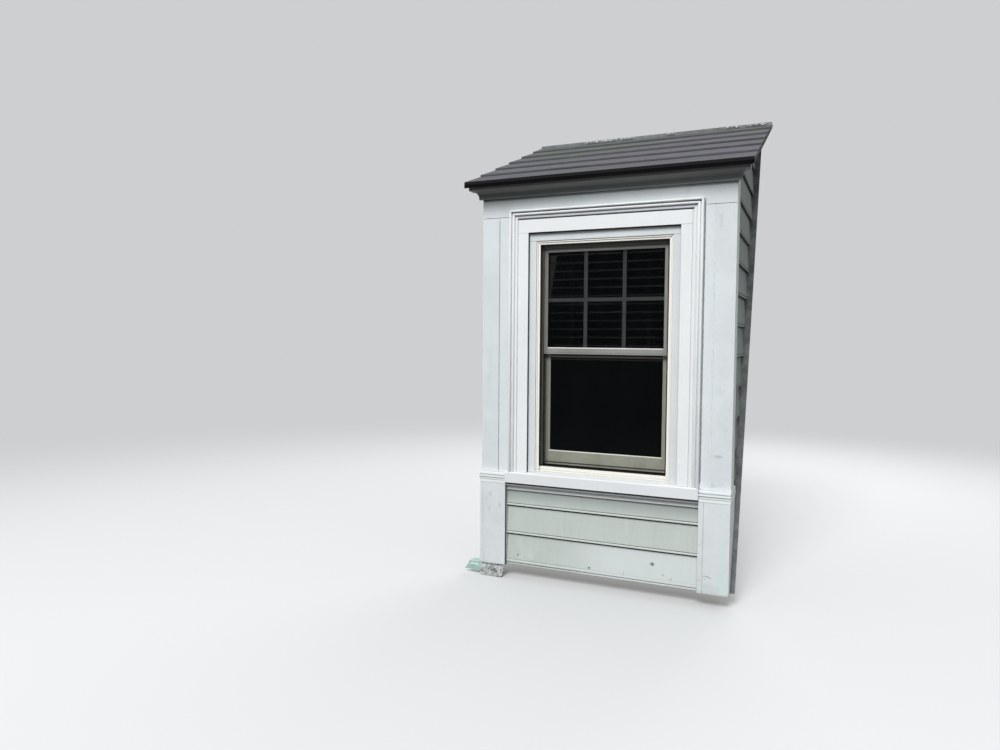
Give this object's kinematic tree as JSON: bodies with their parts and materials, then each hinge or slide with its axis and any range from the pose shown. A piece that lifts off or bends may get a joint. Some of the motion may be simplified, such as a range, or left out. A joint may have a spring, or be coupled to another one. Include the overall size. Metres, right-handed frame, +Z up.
{
  "type": "dormer window",
  "caption": "Wall dormer with a double-hung window in moulded white casing, clapboard cheeks and a shed roof, cut off at the leaning slated wall it stands in.",
  "frame": {"origin": "middle of the underside of the front wall's sole plate", "axes": "+X to the right seen from outside, +Y into the building, +Z up"},
  "size_m": [1.568, 1.3342, 2.7657],
  "materials": {
    "framing_lumber": "rough sawn softwood, bare",
    "sheathing_panel": "plain panel, bare",
    "white_paint": "weathered white paint on wood, satin",
    "casing_paint": "white paint on wood, satin",
    "siding_paint": "pale grey paint on wood, satin",
    "roofing": "dark grey roofing strips, matt",
    "edge_metal": "near black painted metal",
    "flashing_metal": "dull grey metal",
    "verdigris_copper": "weathered copper, green and matt",
    "pitted_metal": "bare grey metal, pitted and stained",
    "window_vinyl": "taupe vinyl, satin",
    "grille_metal": "grey paint, matt",
    "glazing": "clear, reads dark",
    "blind_vinyl": "off-white, matt",
    "plaster": "painted plasterboard, matt"
  },
  "bodies": {
    "root": {"sole_plate": "framing_lumber", "front_studs": "framing_lumber", "window_header": "framing_lumber", "top_plates": "framing_lumber", "cheek_studs": "framing_lumber", "left_sloping_plate": "framing_lumber", "right_sloping_plate": "framing_lumber", "rafters": "framing_lumber", "roof_ledger": "framing_lumber", "front_sheathing": "sheathing_panel", "cheek_sheathing": "sheathing_panel", "roof_deck": "sheathing_panel", "roof_courses": "roofing", "roof_edge": "edge_metal", "crown_moulding": "white_paint", "frieze_board": "white_paint", "left_corner_board": "white_paint", "right_corner_board": "white_paint", "left_plinth_board": "white_paint", "right_plinth_board": "white_paint", "plinth_caps": "white_paint", "backing_boards": "white_paint", "flat_casing": "casing_paint", "band_moulding": "casing_paint", "window_stops": "casing_paint", "window_jambs": "casing_paint", "window_sill": "casing_paint", "under_sill_moulding": "casing_paint", "panel_siding": "siding_paint", "left_cheek_siding": "siding_paint", "right_cheek_siding": "siding_paint", "window_frame": "window_vinyl", "upper_sash": "window_vinyl", "upper_panes": "glazing", "grille_bars": "grille_metal", "lower_sash": "window_vinyl", "lower_panes": "glazing", "sash_lock": "window_vinyl", "blind_headrail": "blind_vinyl", "blind_slats": "blind_vinyl", "cheek_linings": "plaster", "ceiling_lining": "plaster", "front_lining": "plaster", "inside_casing": "casing_paint", "step_flashing": "flashing_metal", "head_flashing": "flashing_metal", "copper_apron": "verdigris_copper", "apron_patch": "pitted_metal"}
  },
  "joints": []
}
